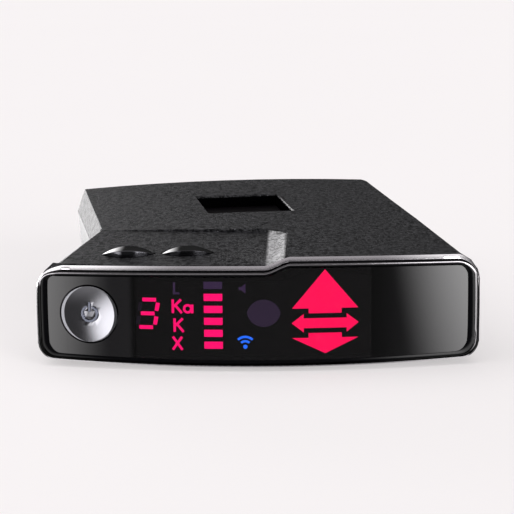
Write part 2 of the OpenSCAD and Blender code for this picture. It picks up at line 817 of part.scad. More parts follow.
module power_jack() color("#1a1a1c") modular_jack(jack_y[0]);
module accessory_jack() color("#1a1a1c") modular_jack(jack_y[1]);

module jack_contacts() color("#d8b35a") {
    for (y = jack_y) for (i = [-1.5:1.5])
        box([jack_x + 4.5, y + i * 1.02 - 0.2, board_top + 0.7], [jack_x + 11, y + i * 1.02 + 0.2, board_top + 1.2]);
}

module earphone_jack() color("#1a1a1c") {
    difference() {
        union() {
            box([-25.4, earphone_y - 3.4, board_top], [-17.5, earphone_y + 3.4, board_top + 6.6]);
            translate([-29.3, earphone_y, earphone_z]) rotate([0, 90, 0]) cylinder(d = 6, h = 4);
        }
        translate([-30, earphone_y, earphone_z]) rotate([0, 90, 0]) cylinder(d = earphone_d, h = 11.5);
    }
}

module mount_sleeve() color("#1c1c1e") {
    difference() {
        end_piece(sleeve_box, 0.05, 0.2, 16);
        box([-4.8, 43, sleeve_box[0][1] + 0.8], [16.9, 62, sleeve_box[1][1] - 0.8]);
    }
}

module mount_spring() color("#b0b2b6") {
    box([3, 43.5, sleeve_box[1][1] - 1.2], [9, 54, sleeve_box[1][1] - 0.8]);
}

module cover_screws() color("#8c8e92") {
    for (at = post_at) {
        translate([at[0], at[1], 6]) cylinder(d = 2.2, h = 10);
        difference() {
            translate([at[0], at[1], 4.2]) cylinder(d = 4.6, h = 1.8);
            translate([at[0], at[1], 4.1]) cylinder(d = 2.4, h = 0.9, $fn = 6);
        }
    }
}

module board_screws() color("#8c8e92") {
    for (at = board_post_at) {
        translate([at[0], at[1], board_top]) cylinder(d = 3.6, h = 1.2);
        translate([at[0], at[1], board_z]) cylinder(d = 2, h = board_th + 0.1);
    }
}

module label_plate() color("#c8c8c8") {
    translate([-19.8, -11.8, 0.1]) cube([29.6, 19.6, 0.3]);
}

top_cover();
bottom_cover();
front_bezel();
display_lens();
light_guide_block();
digit_segments();
laser_legend();
band_legends();
strength_bars();
front_arrow();
side_arrow();
rear_arrow();
mute_indicator();
wireless_indicator();
light_sensor();
button_guide();
power_button();
power_symbol();
power_plunger();
power_switch();
volume_down_button();
volume_down_plunger();
volume_up_button();
volume_up_plunger();
volume_switches();
key_board();
display_board();
display_leds();
display_ribbon();
ribbon_connector();
main_board();
processor();
wireless_module();
capacitors();
front_horn();
rear_horn();
mixer_board();
shield_can();
front_radome();
front_laser_lens();
front_laser_sensor();
rear_laser_window();
rear_laser_sensor();
speaker_frame();
speaker_cone();
speaker_magnet();
power_jack();
accessory_jack();
jack_contacts();
earphone_jack();
mount_sleeve();
mount_spring();
cover_screws();
board_screws();
label_plate();
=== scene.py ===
"""Looks of the radar detector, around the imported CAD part. Everything is in metres, in the row frame."""

import json
import math

import bmesh
import bpy
from mathutils import Matrix, Vector


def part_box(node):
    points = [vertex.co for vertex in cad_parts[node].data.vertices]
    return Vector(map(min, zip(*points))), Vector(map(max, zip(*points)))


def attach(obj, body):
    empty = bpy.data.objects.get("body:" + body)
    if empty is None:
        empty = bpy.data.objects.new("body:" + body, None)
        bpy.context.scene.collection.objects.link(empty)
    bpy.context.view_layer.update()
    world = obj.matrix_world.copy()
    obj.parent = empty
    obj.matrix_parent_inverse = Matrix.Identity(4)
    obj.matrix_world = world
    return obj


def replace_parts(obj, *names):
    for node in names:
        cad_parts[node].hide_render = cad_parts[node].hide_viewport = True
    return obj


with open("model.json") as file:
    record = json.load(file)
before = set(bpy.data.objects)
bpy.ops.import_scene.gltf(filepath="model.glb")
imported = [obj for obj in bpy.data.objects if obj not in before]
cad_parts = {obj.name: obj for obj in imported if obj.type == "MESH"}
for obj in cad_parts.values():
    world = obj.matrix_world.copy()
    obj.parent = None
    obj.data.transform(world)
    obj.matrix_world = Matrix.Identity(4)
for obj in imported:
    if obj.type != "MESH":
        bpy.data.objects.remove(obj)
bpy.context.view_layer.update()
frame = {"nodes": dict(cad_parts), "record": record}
nodes = frame["nodes"]
MM = 0.001


# ---- Camera and surroundings -------------------------------------------------------------------

CAMERA_PLACE = (-0.062344, -0.439892, 0.104358)
CAMERA_TURN = (9.079, 11.712, -0.611)    # yaw to the right, pitch down and roll, in degrees
CAMERA_LENS = 140.08


def make_camera():
    """The camera stands in front of the face and a little above it, turned towards the windshield."""
    yaw, pitch, roll = [math.radians(angle) for angle in CAMERA_TURN]
    data = bpy.data.cameras.new("camera")
    data.sensor_width = 36
    data.lens = CAMERA_LENS
    data.clip_start = 0.01
    data.clip_end = 20
    camera = bpy.data.objects.new("camera", data)
    bpy.context.scene.collection.objects.link(camera)
    turn = Matrix.Rotation(-yaw, 4, "Z") @ Matrix.Rotation(math.pi / 2 - pitch, 4, "X")
    camera.matrix_world = Matrix.Translation(CAMERA_PLACE) @ turn @ Matrix.Rotation(roll, 4, "Z")
    bpy.context.scene.camera = camera


make_camera()
bpy.context.scene.view_settings.view_transform = "Standard"


# ---- Node helpers -------------------------------------------------------------------------------

class Tree:
    """A material's or world's node tree, with short calls for the nodes used here."""

    def __init__(self, tree):
        self.tree = tree
        self.tree.nodes.clear()

    def add(self, kind, inputs=(), **settings):
        node = self.tree.nodes.new(kind)
        for name, value in settings.items():
            setattr(node, name, value)
        for name, value in dict(inputs).items():
            self.put(node.inputs[name], value)
        return node

    def put(self, socket, value):
        """Links a socket into the input, or sets a plain value on it."""
        if isinstance(value, bpy.types.NodeSocket):
            self.tree.links.new(value, socket)
        elif isinstance(value, tuple) and socket.type == "RGBA":
            socket.default_value = (*value, 1)[:4]
        else:
            socket.default_value = value

    def math(self, operation, a, b=0.0):
        return self.add("ShaderNodeMath", {0: a, 1: b}, operation=operation).outputs[0]

    def product(self, first, *others):
        """All the values multiplied."""
        for other in others:
            first = self.math("MULTIPLY", first, other)
        return first

    def vmath(self, operation, a, b=(0, 0, 0)):
        node = self.add("ShaderNodeVectorMath", {0: a, 1: b}, operation=operation)
        return node.outputs["Value" if operation == "DOT_PRODUCT" else "Vector"]

    def rise(self, value, low, high, to_low=0.0, to_high=1.0):
        """Value's smooth rise from to_low at low to to_high at high."""
        node = self.add("ShaderNodeMapRange", {"Value": value, "From Min": low, "From Max": high,
                                               "To Min": to_low, "To Max": to_high},
                        interpolation_type="SMOOTHSTEP")
        return node.outputs["Result"]

    def noise(self, where, scale, detail=2.0, rough=0.5):
        inputs = {"Vector": where, "Scale": scale, "Detail": detail, "Roughness": rough}
        return self.add("ShaderNodeTexNoise", inputs).outputs["Fac"]

    def cells(self, where, scale):
        """Distance to the nearest of many scattered points."""
        return self.add("ShaderNodeTexVoronoi", {"Vector": where, "Scale": scale}).outputs["Distance"]

    def mix(self, factor, a, b):
        node = self.add("ShaderNodeMix", data_type="RGBA")
        for socket, value in zip([node.inputs[0], node.inputs[6], node.inputs[7]], [factor, a, b]):
            self.put(socket, value)
        return node.outputs[2]

    def bump(self, height, distance):
        inputs = {"Height": height, "Distance": distance, "Strength": 1.0}
        return self.add("ShaderNodeBump", inputs).outputs["Normal"]

    def where(self):
        return self.add("ShaderNodeTexCoord").outputs["Object"]

    def height(self):
        return self.add("ShaderNodeSeparateXYZ", {0: self.where()}).outputs["Z"]


# ---- Frame of the turned face -------------------------------------------------------------------
# u runs across the face to the driver's right, v runs inwards, w runs up from the case's top plane.

FACE_TURN = math.radians(-10.5)
CASE_TOP = 0.0235
FACE_MID = Vector((-0.00105, -0.0553, CASE_TOP))
FACE_U = Vector((math.cos(FACE_TURN), math.sin(FACE_TURN), 0))
FACE_AXIS = Vector((-math.sin(FACE_TURN), math.cos(FACE_TURN), 0))
FACE_HALF = 45 * MM
BOW = 5.7 * MM
POCKET = ((-0.0041, -0.0055), (0.0159, 0.0175))    # plan of the window pocket: low and high corner


def face_point(u, v, w):
    """The point at u, v, w in the row frame."""
    return FACE_MID + FACE_U * u + FACE_AXIS * v + Vector((0, 0, w))


def bow(u):
    """How far the face's front lies behind its middle at u."""
    return BOW * (u / FACE_HALF) ** 2


def across(t):
    """u, as a socket, for materials that depend on the place on the face."""
    return t.vmath("DOT_PRODUCT", t.vmath("SUBTRACT", t.where(), tuple(FACE_MID)), tuple(FACE_U))


def inwards(t):
    """v, as a socket."""
    return t.vmath("DOT_PRODUCT", t.vmath("SUBTRACT", t.where(), tuple(FACE_MID)), tuple(FACE_AXIS))


def above(t):
    """w, as a socket."""
    return t.math("SUBTRACT", t.height(), CASE_TOP)


# ---- Paints: functions that give a Principled shader's inputs ------------------------------------

def material(name, paint):
    """A new material whose Principled sockets are what paint(tree) returns."""
    made = bpy.data.materials.new(name)
    made.use_nodes = True
    tree = Tree(made.node_tree)
    shader = tree.add("ShaderNodeBsdfPrincipled", paint(tree))
    tree.add("ShaderNodeOutputMaterial", {"Surface": shader.outputs[0]})
    return made


def cast(t):
    """Black crinkle paint of the cast cover, dull in the window pocket, with pale flecks painted in as
    glints, and painted paler on the riser as painted light.
    """
    where = t.where()
    fine = t.noise(where, 1900, 3.0, 0.65)
    coarse = t.noise(where, 950, 2.0, 0.5)
    relief = t.math("ADD", t.product(fine, 0.5), t.product(coarse, 0.5))
    shade = t.mix(t.rise(relief, 0.4, 0.6), (0.003, 0.003, 0.0035), (0.018, 0.018, 0.02))
    # Pale flecks painted into the colour: painted glints of the crinkle paint
    shade = t.mix(t.rise(t.cells(where, 1100), 0.2, 0.05), shade, (0.12, 0.12, 0.13))
    # Painted light: a paler colour on the riser, standing for the light that falls on its slope
    pale = t.mix(t.rise(relief, 0.4, 0.6), (0.16, 0.16, 0.16), (0.42, 0.42, 0.43))
    shade = t.mix(riser_light_mask(t), shade, pale)
    sunk = t.product(in_pocket(t), t.rise(above(t), -0.35 * MM, -0.6 * MM))
    shine = t.rise(relief, 0.42, 0.58, 0.05, 0.2)
    return {
        "Base Color": t.mix(sunk, shade, (0.0005, 0.0005, 0.0006)),
        "Roughness": t.rise(fine, 0.3, 0.7, 0.42, 0.6),
        "Specular IOR Level": t.product(t.math("SUBTRACT", 1.0, sunk), shine),
        "Normal": t.bump(relief, 0.0002),
    }


def riser_light_mask(t):
    """Mask of the painted light on the riser: 1 on the slope between the button deck and the case's top,
    fading to 0 round it.
    """
    u, v, w = across(t), inwards(t), above(t)
    return t.product(t.rise(u, 1.6 * MM, 2.4 * MM), t.rise(u, 6.6 * MM, 5.9 * MM),
                     t.rise(w, -0.12 * MM, -0.4 * MM), t.rise(w, -3 * MM, -2.4 * MM),
                     t.rise(v, 31.5 * MM, 29.5 * MM))


def in_pocket(t):
    """1 within the window pocket's plan, else 0."""
    place = t.add("ShaderNodeSeparateXYZ", {0: t.where()}).outputs
    low, high = POCKET
    return t.product(*[t.math("GREATER_THAN", place[axis], limit) for axis, limit in zip("XY", low)],
                     *[t.math("LESS_THAN", place[axis], limit) for axis, limit in zip("XY", high)])


def grained(colour, spread, rough, grain, height, shine=0.5, metallic=0.0):
    """Paint for cast, moulded or sprayed surfaces: a fine grain in colour, gloss and height."""
    def paint(t):
        where = t.where()
        fine = t.noise(where, grain, 3.0, 0.6)
        broad = t.noise(where, grain / 22, 2.0)
        dark = tuple(c * (1 - spread) for c in colour)
        light = tuple(c * (1 + spread) for c in colour)
        shade = t.mix(t.rise(fine, 0.36, 0.64), dark, light)
        shade = t.mix(t.rise(broad, 0.3, 0.7, 0.0, 0.18), shade, dark)
        return {
            "Base Color": shade,
            "Metallic": metallic,
            "Roughness": t.rise(fine, 0.3, 0.7, rough - 0.06, rough + 0.08),
            "Specular IOR Level": shine,
            "Normal": t.bump(fine, height),
        }
    return paint


def smooth(colour, rough, metallic=0.0, shine=0.5, coat=0.0):
    """Paint for polished plastic and metal: faint cloudiness in gloss and colour, no visible grain."""
    def paint(t):
        where = t.where()
        cloud = t.noise(where, 260, 3.0, 0.55)
        dark = tuple(c * 0.9 for c in colour)
        light = tuple(c * 1.1 for c in colour)
        return {
            "Base Color": t.mix(cloud, dark, light),
            "Metallic": metallic,
            "Roughness": t.rise(cloud, 0.3, 0.7, rough - 0.015, rough + 0.015),
            "Specular IOR Level": shine,
            "Coat Weight": coat,
            "Coat Roughness": 0.05,
            "Normal": t.bump(cloud, 0.000002),
        }
    return paint


def brushed(colour, rough, centre, turn):
    """Paint for turned metal: fine rings about an axis through centre that points along turn."""
    def paint(t):
        offset = t.vmath("SUBTRACT", t.where(), tuple(centre))
        along = t.vmath("DOT_PRODUCT", offset, tuple(turn))
        radius = t.math("SQRT", t.math("SUBTRACT", t.vmath("DOT_PRODUCT", offset, offset),
                                       t.product(along, along)))
        rings = t.noise(t.add("ShaderNodeCombineXYZ", {"X": radius}).outputs[0], 9000, 3.0, 0.7)
        return {
            "Base Color": t.mix(rings, tuple(c * 0.8 for c in colour), tuple(c * 1.2 for c in colour)),
            "Metallic": 1.0,
            "Roughness": t.rise(rings, 0.2, 0.8, rough - 0.05, rough + 0.08),
            "Normal": t.bump(rings, 0.000004),
        }
    return paint


def moulded(colour, rough=0.5):
    """Paint for plain moulded plastic."""
    return grained(colour, 0.22, rough, 2200, 0.000012)


def board_paint(t):
    """Green solder mask over copper tracks, with small pads."""
    where = t.where()
    tracks = t.add("ShaderNodeTexBrick", {"Vector": where, "Scale": 420, "Mortar Size": 0.012})
    pads = t.cells(where, 520)
    green = t.mix(tracks.outputs["Fac"], (0.008, 0.07, 0.03), (0.015, 0.12, 0.05))
    return {
        "Base Color": t.mix(t.rise(pads, 0.14, 0.1), green, (0.62, 0.5, 0.2)),
        "Roughness": t.rise(t.noise(where, 600), 0.3, 0.7, 0.25, 0.4),
        "Normal": t.bump(tracks.outputs["Fac"], 0.00002),
    }


def flex_paint(t):
    """Amber film over parallel copper tracks."""
    wave = t.add("ShaderNodeTexWave", {"Vector": t.where(), "Scale": 160.0, "Distortion": 0.0},
                 bands_direction="X").outputs["Fac"]
    return {
        "Base Color": t.mix(t.rise(wave, 0.4, 0.6), (0.36, 0.15, 0.03), (0.55, 0.28, 0.06)),
        "Roughness": 0.3,
        "Normal": t.bump(wave, 0.00001),
    }


# ---- Paints of the display ------------------------------------------------------------------------

RED = (1.0, 0.0, 0.085)
MAGENTA = (1.0, 0.0, 0.15)
BLUE = (0.015, 0.16, 1.0)
# Painted glow: faint emission given to unlit pipes, standing for room light seen in them
PAINTED_UNLIT_GLOW = (0.03, 0.016, 0.047)
LENS_TINT = 0.55
GLOW = 1.12 / LENS_TINT


def lens_paint(t):
    """Smoked clear plastic over the lit area, with a black painted back elsewhere."""
    u = across(t)
    clear = t.product(t.rise(u, -26.1 * MM, -24.7 * MM), t.rise(u, 37 * MM, 22 * MM))
    grain = t.noise(t.where(), 2400, 2.0, 0.6)
    cloud = t.noise(t.where(), 180, 2.0)
    return {
        "Base Color": t.mix(t.rise(clear, 0.985, 1.0), (0.008, 0.0078, 0.0085),
                            (LENS_TINT, LENS_TINT * 0.94, LENS_TINT)),
        "Transmission Weight": clear,
        "Roughness": t.rise(cloud, 0.3, 0.7, 0.02, 0.05),
        "IOR": 1.49,
        "Normal": t.bump(grain, 0.0000006),
    }


def lamp_paint(colour, lit=None, off=PAINTED_UNLIT_GLOW):
    """Frosted light pipe glowing in its colour. lit(t), if given, is 1 where it glows and 0 where it shows
    the colour off, a faint painted glow that stands for room light seen in the unlit pipe.
    """
    def paint(t):
        uneven = t.rise(t.noise(t.where(), 420, 2.0), 0.25, 0.75, 0.94, 1.04)
        glow = t.mix(uneven, (0, 0, 0), tuple(c * GLOW for c in colour))
        # Where lit is 0 the pipe still glows faintly in the colour off: a painted glow
        if lit is not None:
            glow = t.mix(lit(t), tuple(c * GLOW for c in off), glow)
        return {
            "Base Color": t.mix(t.noise(t.where(), 900, 2.0), (0.003, 0.002, 0.003), (0.005, 0.003, 0.005)),
            "Roughness": 0.5,
            "Specular IOR Level": 0.05,
            "Emission Color": glow,
            "Emission Strength": 1.0,
        }
    return paint


def bars_lit(t):
    """All the bars are lit but the topmost."""
    return t.math("LESS_THAN", above(t), -7.2 * MM)


def digit_lit(t):
    """The digit shows a 3: its two left-hand upright segments are off."""
    rise = t.math("ADD", above(t), 11.9 * MM)
    beside = t.math("SUBTRACT", t.math("ADD", across(t), 22 * MM), t.product(rise, 0.13))
    left = t.math("LESS_THAN", beside, -1.32 * MM)
    size = t.math("ABSOLUTE", rise)
    upright = t.product(t.math("GREATER_THAN", size, 0.5 * MM), t.math("LESS_THAN", size, 2.35 * MM))
    return t.math("SUBTRACT", 1.0, t.product(left, upright))


# ---- Paint of each material slot, and of each node with a paint of its own -----------------------

power_low, power_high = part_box("power_button")
POWER_CENTRE = (power_low + power_high) / 2

PAINTS = {
    "die_cast": cast,
    "board": board_paint,
    "flex": flex_paint,
    "case_plastic": grained((0.016, 0.016, 0.017), 0.3, 0.45, 2000, 0.00003, shine=0.4),
    "gloss_bezel": smooth((0.0015, 0.0015, 0.002), 0.12, shine=0.12),
    "guide_black": grained((0.0008, 0.0008, 0.0009), 0.2, 0.7, 2200, 0.00001, shine=0.03),
    "key_metal": smooth((0.05, 0.05, 0.056), 0.1, metallic=1.0, coat=0.25),
    "symbol": smooth((0.16, 0.17, 0.21), 0.28, metallic=1.0),
    "inner_plastic": moulded((0.02, 0.02, 0.022)),
    "switch_body": moulded((0.03, 0.03, 0.032)),
    "plunger": moulded((0.7, 0.7, 0.68), 0.4),
    "led_chip": smooth((0.85, 0.82, 0.6), 0.35),
    "connector": moulded((0.78, 0.75, 0.66), 0.45),
    "chip": moulded((0.015, 0.015, 0.017), 0.55),
    "can": smooth((0.62, 0.63, 0.66), 0.28, metallic=1.0),
    "capacitor": smooth((0.05, 0.08, 0.22), 0.35),
    "horn": grained((0.42, 0.43, 0.46), 0.12, 0.42, 1500, 0.00002, metallic=1.0),
    "radome": grained((0.008, 0.008, 0.009), 0.2, 0.42, 2400, 0.00001),
    "laser_lens": smooth((0.03, 0.004, 0.012), 0.05, coat=1.0),
    "window": smooth((0.002, 0.0015, 0.002), 0.3, shine=0.15),
    "sensor": smooth((0.012, 0.012, 0.016), 0.2),
    "cone": grained((0.05, 0.05, 0.055), 0.4, 0.8, 1600, 0.00006),
    "magnet": smooth((0.32, 0.33, 0.35), 0.35, metallic=1.0),
    "jack_plastic": moulded((0.012, 0.012, 0.014), 0.4),
    "contact": smooth((0.83, 0.6, 0.2), 0.22, metallic=1.0),
    "spring_steel": smooth((0.5, 0.51, 0.54), 0.3, metallic=1.0),
    "screw": smooth((0.3, 0.31, 0.33), 0.3, metallic=1.0),
    "label": grained((0.6, 0.6, 0.6), 0.05, 0.45, 1200, 0.000004),
}

NODE_PAINTS = {
    "display_lens": lens_paint,
    # The digit's off segments get a faint painted glow
    "digit_segments": lamp_paint(MAGENTA, digit_lit, (0.006, 0.004, 0.009)),
    "strength_bars": lamp_paint(MAGENTA, bars_lit),
    "band_legends": lamp_paint(MAGENTA),
    "front_arrow": lamp_paint(RED),
    "side_arrow": lamp_paint(RED),
    "rear_arrow": lamp_paint(RED),
    # The laser legend, mute indicator and light sensor are unlit: their faint glow is painted
    "laser_legend": lamp_paint(PAINTED_UNLIT_GLOW),
    "mute_indicator": lamp_paint(PAINTED_UNLIT_GLOW),
    "light_sensor": lamp_paint((0.02, 0.012, 0.029)),
    "wireless_indicator": lamp_paint(BLUE),
    "power_button": brushed((0.2, 0.2, 0.215), 0.13, POWER_CENTRE, FACE_AXIS),
}


# ---- CAD nodes: soft edges and materials --------------------------------------------------------

def soften(obj, width):
    """Joins the node's faces, merges its flat triangles and rounds its edges."""
    weld = obj.modifiers.new("weld", "WELD")
    weld.merge_threshold = 0.000002
    flat = obj.modifiers.new("flat", "DECIMATE")
    flat.decimate_type = "DISSOLVE"
    flat.angle_limit = math.radians(0.5)
    edge = obj.modifiers.new("edge", "BEVEL")
    edge.width = width
    edge.segments = 2
    edge.limit_method = "ANGLE"
    edge.angle_limit = math.radians(28)
    edge.harden_normals = True
    edge.use_clamp_overlap = True
    normals = obj.modifiers.new("normals", "WEIGHTED_NORMAL")
    normals.keep_sharp = True


# Widths of the rounded edges in mm: of the nodes named here, and of the others
PLAIN_EDGE = 0.08
EDGES = {"top_cover": 0.25, "bottom_cover": 0.25, "front_bezel": 0.15, "display_lens": 0.06,
         "power_button": 0.2, "power_symbol": 0.05, "volume_down_button": 0.15, "volume_up_button": 0.15,
         "front_radome": 0.15, "mount_sleeve": 0.15, "label_plate": 0.1, "cover_screws": 0.15}


def dress_nodes():
    """Gives each CAD node its material and soft edges. Returns the materials by node name or slot."""
    made = {name: material(name, paint) for name, paint in {**PAINTS, **NODE_PAINTS}.items()}
    for part in frame["record"]["subparts"]:
        name, slot = part["node"], part["material_slot"]
        obj = nodes[name]
        obj.data.materials.clear()
        obj.data.materials.append(made[name if name in NODE_PAINTS else slot])
        soften(obj, EDGES.get(name, PLAIN_EDGE) * MM)
    return made


skins = dress_nodes()


# ---- Mesh helpers --------------------------------------------------------------------------------

def finish_mesh(name, mesh, skin, sharp, body="case"):
    """Makes the piece: outward faces, smooth shading up to the sharp angle, its material and its body."""
    work = bmesh.new()
    work.from_mesh(mesh)
    bmesh.ops.remove_doubles(work, verts=work.verts, dist=0.0000005)
    bmesh.ops.recalc_face_normals(work, faces=work.faces)
    work.to_mesh(mesh)
    work.free()
    mesh.shade_smooth()
    mesh.set_sharp_from_angle(angle=math.radians(sharp))
    mesh.materials.append(skin)
    piece = bpy.data.objects.new(name, mesh)
    bpy.context.scene.collection.objects.link(piece)
    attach(piece, body)
    return piece


def new_piece(name, verts, faces, skin):
    mesh = bpy.data.meshes.new(name)
    mesh.from_pydata([tuple(v) for v in verts], [], faces)
    return finish_mesh(name, mesh, skin, sharp=50)


def ring_piece(name, loops, skin):
    """A ring whose cross-section runs through the loops, of equally many points, and back to the first."""
    count = len(loops[0])
    starts = [k * count for k in range(len(loops))]
    faces = [(a + i, a + (i + 1) % count, b + (i + 1) % count, b + i)
             for a, b in zip(starts, starts[1:] + starts[:1]) for i in range(count)]
    return new_piece(name, [p for loop in loops for p in loop], faces, skin)


def rounded(points):
    """Cuts a closed polygon's corners twice, at a quarter of each side."""
    for _ in range(2):
        shifted = points[1:] + points[:1]
        points = [q for a, b in zip(points, shifted) for q in (a.lerp(b, 0.25), a.lerp(b, 0.75))]
    return points


# ---- Outline of the face --------------------------------------------------------------------------

# Lengths here are in mm. An inset is (top, side, bottom), measured in from the face's outline.
HALF = FACE_HALF / MM
CROWN = 0.68            # fall of the top and bottom edges towards the face's ends
DECK_DROP = 1.83        # drop of the top edge in front of the button deck
FACE_HEIGHT = 22.65
RISER = (2.35, 6.1)     # u where the top edge rises from the deck's level
RIM_IN = (0.78, 0.27, 0.28)
BEZEL_IN = (1.0, 0.34, 0.4)
# Inset of the painted highlight line that stands for the gloss bezel's bright outer edge
HIGHLIGHT_LINE_IN = (1.36, 0.4, 0.5)
LENS_IN = (2.15, 2.4, 1.5)
LEDGE_IN = (2.55, 3.2, 1.95)

# Corner points: distance from the face's end, w, and their shares of the side's and the edge's insets
LEFT_TOP = [(0, -7.2, 1, -0.63), (0.5, -5.6, 0.96, -0.28), (2, -3.6, 0.62, 0.42)]
RIGHT_TOP = [(1.8, -1.9, 0.62, 0.56), (0.4, -4, 0.92, 0.05), (0, -5.4, 1, -0.2)]
BOTTOM = [(0, -18.9, 1, -0.53), (0.5, -20.4, 0.96, -0.8), (1.5, -21.5, 0.83, -0.93)]


def crown(u):
    """Height of the face's top edge at u, from its middle's level."""
    return -CROWN * (u / HALF) ** 2


def spread(low, high, parts):
    """Evenly spaced values from low to high."""
    return [low + (high - low) * i / parts for i in range(parts + 1)]


def face_outline(inset):
    """Closed outline of the face, as (u, w)."""
    top, side, bottom = inset

    def corner(points, end, edge):
        return [(end * (HALF - d - a * side), w - b * edge) for d, w, a, b in points]

    low_end = HALF - 2.7 - 0.7 * side
    outline = corner(LEFT_TOP, -1, top)
    outline += [(u, crown(u) - DECK_DROP - top) for u in spread(-39.8 - 0.4 * side, RISER[0], 24)]
    outline += [(u, crown(u) - top) for u in spread(RISER[1], 41.2 - 0.1 * side, 20)]
    outline += corner(RIGHT_TOP, 1, top) + corner(BOTTOM, 1, bottom)
    outline += [(u, bottom - FACE_HEIGHT - crown(u)) for u in spread(low_end, -low_end, 48)]
    outline += corner(BOTTOM[::-1], -1, bottom)
    return rounded([Vector(p) for p in outline])


def face_loop(inset, depth):
    """The outline as points on the bowed face, at a depth behind its front."""
    return [face_point(p.x * MM, bow(p.x * MM) + depth * MM, p.y * MM) for p in face_outline(inset)]


def grown(inset, top, side, bottom):
    """The inset with more added to its top, side and bottom."""
    return (inset[0] + top, inset[1] + side, inset[2] + bottom)


# ---- Display face ---------------------------------------------------------------------------------

def make_rim():
    """Bright cut edge of the metal cover round the face."""
    loops = [face_loop((0, 0, 0), 0.5), face_loop((0.03, 0.02, 0.02), 0.44), face_loop(RIM_IN, 0.1),
             face_loop(grown(RIM_IN, 0.04, 0.03, 0.03), 0.12),
             face_loop(grown(RIM_IN, 0.05, 0.04, 0.04), 0.62), face_loop((0.1, 0.08, 0.06), 0.62)]
    return ring_piece("rim_edge", loops, material("rim_edge", cut_metal))


def cut_metal(t):
    """Diamond-cut aluminium with very fine lines, painted brightest near the ends as a painted reflection,
    and dark down the sides.
    """
    where = t.where()
    lines = t.noise(t.vmath("MULTIPLY", where, (1, 1, 6)), 1500, 3.0, 0.7)
    # Painted reflection: the metal is paler towards both ends of the face, where the softboxes show in it
    ends = t.math("MAXIMUM", t.rise(across(t), -14 * MM, -38 * MM), t.rise(across(t), 24 * MM, 42 * MM))
    metal = t.mix(ends, t.mix(lines, (0.2, 0.19, 0.2), (0.27, 0.255, 0.27)), (0.78, 0.76, 0.78))
    low = t.rise(above(t), -5.6 * MM, -7.6 * MM)
    sides = t.product(t.rise(t.math("ABSOLUTE", across(t)), 42.5 * MM, 43.2 * MM), low)
    return {
        "Base Color": t.mix(sides, metal, (0.035, 0.035, 0.037)),
        "Metallic": 1.0,
        "Roughness": t.rise(lines, 0.3, 0.7, 0.2, 0.34),
        "Normal": t.bump(lines, 0.000002),
    }


def make_bezel():
    """Gloss black frame with a ledge for the lens behind it."""
    loops = [face_loop(BEZEL_IN, 3.0), face_loop(BEZEL_IN, 0.5),
             face_loop(grown(BEZEL_IN, 0.1, 0.1, 0.1), 0.36),
             face_loop(grown(HIGHLIGHT_LINE_IN, 0.44, 0.6, 0.3), 0.3),
             face_loop(grown(LENS_IN, -0.1, -0.1, -0.1), 0.34), face_loop(LENS_IN, 0.4),
             face_loop(LENS_IN, 1.62), face_loop(LEDGE_IN, 1.62), face_loop(LEDGE_IN, 3.0)]
    piece = ring_piece("bezel_frame", loops, skins["gloss_bezel"])
    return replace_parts(piece, "front_bezel")


def make_edge_highlight():
    """Thin bright line round the bezel's outer edge: a painted highlight, standing for the gloss bezel's
    edge catching the light.
    """
    inner = grown(HIGHLIGHT_LINE_IN, 0.36, 0.56, 0.25)
    loops = [face_loop(HIGHLIGHT_LINE_IN, 0.34), face_loop(HIGHLIGHT_LINE_IN, 0.16),
             face_loop(grown(HIGHLIGHT_LINE_IN, 0.06, 0.1, 0.05), 0.1), face_loop(grown(HIGHLIGHT_LINE_IN, 0.3, 0.5, 0.2), 0.1),
             face_loop(inner, 0.16), face_loop(inner, 0.34)]
    return ring_piece("bezel_edge_highlight", loops, material("bezel_edge_highlight", edge_highlight_paint))


def edge_highlight_paint(t):
    """Painted highlight of the bezel's edge: polished metal, dull down the face's right end and black down
    its left end and along its bottom, where that edge shows less light.
    """
    cloud = t.noise(t.where(), 700, 3.0)
    # Where the painted highlight is dimmed (right end) and left out (left end and bottom)
    left = t.product(t.rise(across(t), -41.5 * MM, -42.5 * MM), t.rise(above(t), -5 * MM, -7 * MM))
    right = t.product(t.rise(across(t), 42.8 * MM, 43.6 * MM), t.rise(above(t), -3 * MM, -5 * MM))
    metal = t.mix(cloud, (0.2, 0.19, 0.2), (0.26, 0.25, 0.26))
    dark = t.math("MAXIMUM", left, t.rise(above(t), -19.5 * MM, -20.8 * MM))
    return {
        "Base Color": t.mix(dark, t.mix(right, metal, (0.07, 0.068, 0.07)), (0.004, 0.004, 0.004)),
        "Metallic": 1.0,
        "Roughness": t.rise(cloud, 0.3, 0.7, 0.1, 0.2),
    }


POWER_AT = (-34.0, -12.16)    # u and w of the power key's middle
POWER_HOLE = 12.2 / 2


def span_at(outline, u):
    """Lowest and highest height of a closed outline at u."""
    heights = []
    for a, b in zip(outline, outline[1:] + outline[:1]):
        if min(a.x, b.x) <= u <= max(a.x, b.x) and a.x != b.x:
            heights.append(a.y + (b.y - a.y) * (u - a.x) / (b.x - a.x))
    return (min(heights), max(heights)) if heights else None


